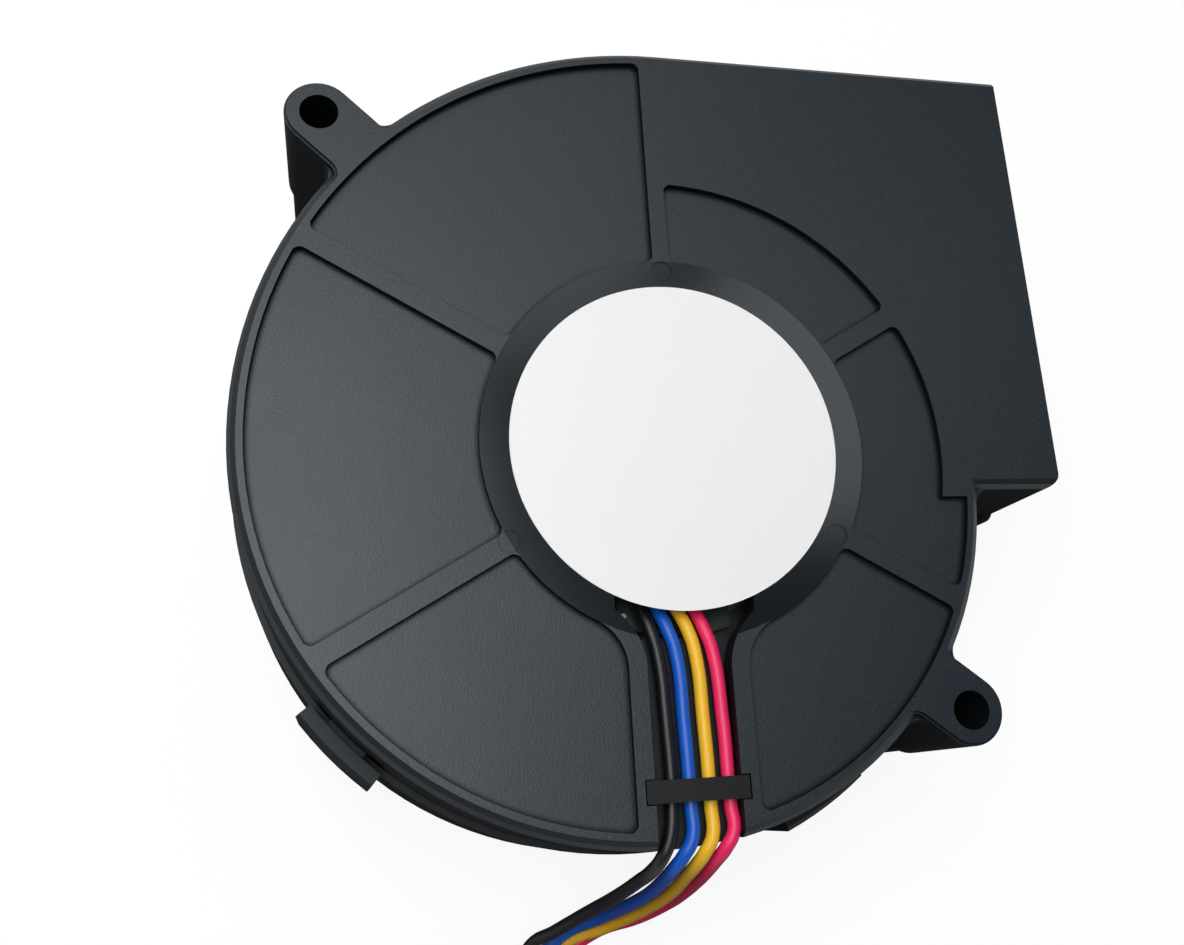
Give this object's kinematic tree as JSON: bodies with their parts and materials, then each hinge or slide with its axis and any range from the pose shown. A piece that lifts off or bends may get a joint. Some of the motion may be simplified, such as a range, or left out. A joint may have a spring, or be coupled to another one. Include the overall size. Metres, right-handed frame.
{
  "type": "blower fan",
  "caption": "Flat centrifugal blower fan: scroll housing with a side outlet, forward-curved impeller, external-rotor motor, two lug holes and a lead harness with a connector.",
  "frame": {"origin": "on the rotor axis at the inlet face, the face that the fan lies on", "axes": "+Z along the rotor axis up to the label face, +X out of the outlet, +Y towards the duct's long wall"},
  "size_m": [0.1053, 0.145, 0.033],
  "materials": {
    "housing_plastic": "fine matt moulded texture, satin on the flat hub",
    "impeller_plastic": "smooth matt black",
    "label_film": "satin white film, blank",
    "yoke_steel": "drawn and zinc plated",
    "ferrite": "plastic-bonded ferrite",
    "polished_steel": "ground",
    "spring_steel": "blued",
    "brass": "turned",
    "lamination": "stamped",
    "insulator_nylon": "natural nylon",
    "copper": "enamelled winding",
    "board": "green solder mask",
    "chip_black": "moulded",
    "ceramic": "fired",
    "solder": "bright",
    "black_sleeve": "smooth insulation",
    "blue_sleeve": "smooth insulation",
    "yellow_sleeve": "smooth insulation",
    "red_sleeve": "smooth insulation",
    "coil_sleeve": "smooth insulation",
    "nylon_white": "natural nylon"
  },
  "bodies": {
    "housing": {"motor_side_housing": "housing_plastic", "inlet_side_housing": "housing_plastic", "wire_retainer": "housing_plastic", "label": "label_film", "bearing_tube": "brass", "circuit_board": "board", "driver_chip": "chip_black", "hall_sensor": "chip_black", "chip_components": "ceramic", "solder_joints": "solder", "stator_core": "lamination", "upper_insulator": "insulator_nylon", "lower_insulator": "insulator_nylon", "stator_coils": "copper", "winding_pins": "solder", "upper_bearing_outer_race": "polished_steel", "upper_bearing_balls": "polished_steel", "lower_bearing_outer_race": "polished_steel", "lower_bearing_balls": "polished_steel", "bearing_shields": "spring_steel", "black_lead": "black_sleeve", "blue_lead": "blue_sleeve", "yellow_lead": "yellow_sleeve", "red_lead": "red_sleeve", "lead_coil": "coil_sleeve", "coil_tie": "nylon_white", "lead_tails": "coil_sleeve", "connector_housing": "nylon_white", "connector_terminals": "brass"},
    "rotor": {"impeller": "impeller_plastic", "rotor_yoke": "yoke_steel", "rotor_magnet": "ferrite", "shaft": "polished_steel", "shaft_bush": "brass", "preload_washer": "spring_steel", "retaining_ring": "spring_steel", "upper_bearing_inner_race": "polished_steel", "lower_bearing_inner_race": "polished_steel"}
  },
  "joints": [
    {"name": "rotor_spin", "type": "hinge", "parent": "housing", "child": "rotor", "pos_m": [0, 0, 0.0165], "axis": [0, 0, 1], "continuous": true}
  ]
}
